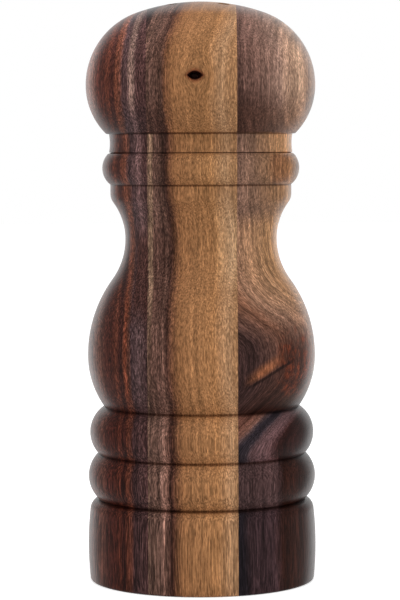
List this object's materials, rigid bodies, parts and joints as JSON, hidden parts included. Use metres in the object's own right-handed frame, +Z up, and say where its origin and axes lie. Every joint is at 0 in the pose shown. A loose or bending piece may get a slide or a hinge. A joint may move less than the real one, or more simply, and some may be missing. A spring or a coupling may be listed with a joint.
{
  "type": "pepper mill",
  "caption": "Turned wooden pepper mill: a domed head with pouring holes for salt turns a steel grinder in the ringed body and lifts off for filling.",
  "frame": {"origin": "centre of the foot, on the surface that the mill stands on", "axes": "+Z up along the turning axis, -Y towards the front, +X to the right seen from the front"},
  "size_m": [0.06, 0.06, 0.1515],
  "materials": {
    "heartwood_left": "oiled acacia heartwood, dark streaks",
    "sapwood_centre": "oiled acacia, sapwood running into heartwood",
    "heartwood_right": "oiled acacia heartwood, nearly black figure",
    "floor_wood": "turned, oiled",
    "burr_steel": "hardened, machined teeth",
    "plated_steel": "pressed and zinc plated",
    "screw_steel": "plated",
    "spring_steel": "drawn wire",
    "shaft_aluminium": "drawn square bar, turned ends",
    "bush_brass": "turned",
    "washer_nylon": "cut sheet",
    "knob_plastic": "moulded, fine texture",
    "stopper_silicone": "moulded, translucent white"
  },
  "bodies": {
    "mill_body": {"body_board_left": "heartwood_left", "body_board_front": "sapwood_centre", "body_board_back": "sapwood_centre", "body_board_right": "heartwood_right", "grinder_ring": "burr_steel", "bearing_bridge": "plated_steel", "shaft_bush": "bush_brass", "cover_plate": "plated_steel", "plate_screws": "screw_steel"},
    "drive": {"drive_shaft": "shaft_aluminium", "thrust_washer": "washer_nylon", "burr_spring": "spring_steel"},
    "burr": {"male_burr": "burr_steel", "burr_washer": "plated_steel"},
    "adjuster": {"adjuster_knob": "knob_plastic", "adjuster_nut": "bush_brass"},
    "head": {"head_board_left": "heartwood_left", "head_board_centre": "sapwood_centre", "head_board_right": "heartwood_right", "chamber_floor": "floor_wood", "drive_plate": "plated_steel", "drive_plate_screws": "screw_steel", "shaft_clip": "spring_steel"},
    "stopper": {"salt_stopper": "stopper_silicone"}
  },
  "joints": [
    {"name": "grind_turn", "type": "hinge", "parent": "mill_body", "child": "drive", "pos_m": [0, 0, 0.06], "axis": [0, 0, 1], "continuous": true},
    {"name": "burr_lift", "type": "slide", "parent": "drive", "child": "burr", "axis": [0, 0, 1], "range_m": [-0.0007, 0.0007], "deforming": ["burr_spring"]},
    {"name": "adjuster_turn", "type": "hinge", "parent": "burr", "child": "adjuster", "pos_m": [0, 0, 0.005], "axis": [0, 0, 1], "range_deg": [-360.5, 360.5]},
    {"name": "head_lift", "type": "slide", "parent": "drive", "child": "head", "axis": [0, 0, 1], "range_m": [0, 0.04]},
    {"name": "stopper_pull", "type": "slide", "parent": "head", "child": "stopper", "axis": [0, 0, -1], "range_m": [0, 0.02]}
  ],
  "couplings": [
    {"joint": "adjuster_turn", "follows": "burr_lift", "rad_per_m": 8976}
  ]
}
